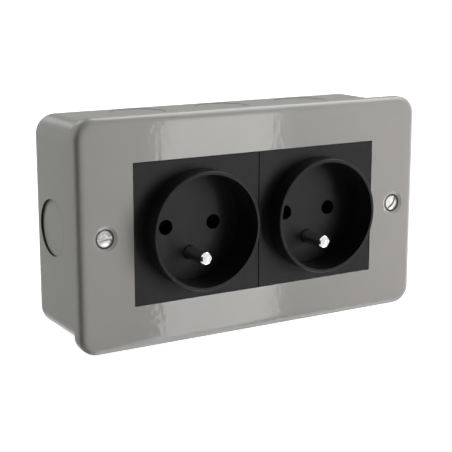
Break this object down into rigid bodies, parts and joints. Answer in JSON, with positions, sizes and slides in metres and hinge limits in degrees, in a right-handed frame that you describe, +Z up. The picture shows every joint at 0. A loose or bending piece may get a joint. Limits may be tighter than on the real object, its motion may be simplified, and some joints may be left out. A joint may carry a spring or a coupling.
{
  "type": "double socket outlet in a surface back box",
  "caption": "Surface-mounted metal-clad socket outlet: deep grey steel back box, overhanging front plate, black round-recess sockets with earth pins, slotted screws.",
  "frame": {"origin": "centre of the flat back of the box, on the wall", "axes": "+Z up, +X to the right seen from the front, the front faces -Y"},
  "size_m": [0.1404, 0.0494, 0.0808],
  "materials": {
    "grey_enamel": "glossy enamel with fine orange peel",
    "black_plastic": "satin moulded",
    "shutter_plastic": "satin moulded",
    "nickel": "nickel plated",
    "brass": "plain",
    "spring_steel": "bright strip"
  },
  "bodies": {
    "housing": {"back_box": "grey_enamel", "front_plate": "grey_enamel", "plate_screws": "nickel", "box_earth_terminal": "brass", "box_earth_screw": "brass", "left_socket_cover": "black_plastic", "left_socket_base": "black_plastic", "left_shutter_spring": "spring_steel", "left_earth_pin": "nickel", "left_earth_strap": "brass", "left_live_contact": "brass", "left_neutral_contact": "brass", "left_live_clamp": "spring_steel", "left_neutral_clamp": "spring_steel", "left_earth_clamp": "spring_steel", "right_socket_cover": "black_plastic", "right_socket_base": "black_plastic", "right_shutter_spring": "spring_steel", "right_earth_pin": "nickel", "right_earth_strap": "brass", "right_live_contact": "brass", "right_neutral_contact": "brass", "right_live_clamp": "spring_steel", "right_neutral_clamp": "spring_steel", "right_earth_clamp": "spring_steel"},
    "left_gate": {"left_shutter": "shutter_plastic"},
    "right_gate": {"right_shutter": "shutter_plastic"}
  },
  "joints": [
    {"name": "left_shutter_slide", "type": "slide", "parent": "housing", "child": "left_gate", "axis": [0, 0, 1], "range_m": [0, 0.0064], "stiffness_N_per_m": 60, "springref_m": -0.004, "deforming": ["left_shutter_spring"]},
    {"name": "right_shutter_slide", "type": "slide", "parent": "housing", "child": "right_gate", "axis": [0, 0, 1], "range_m": [0, 0.0064], "stiffness_N_per_m": 60, "springref_m": -0.004, "deforming": ["right_shutter_spring"]}
  ]
}
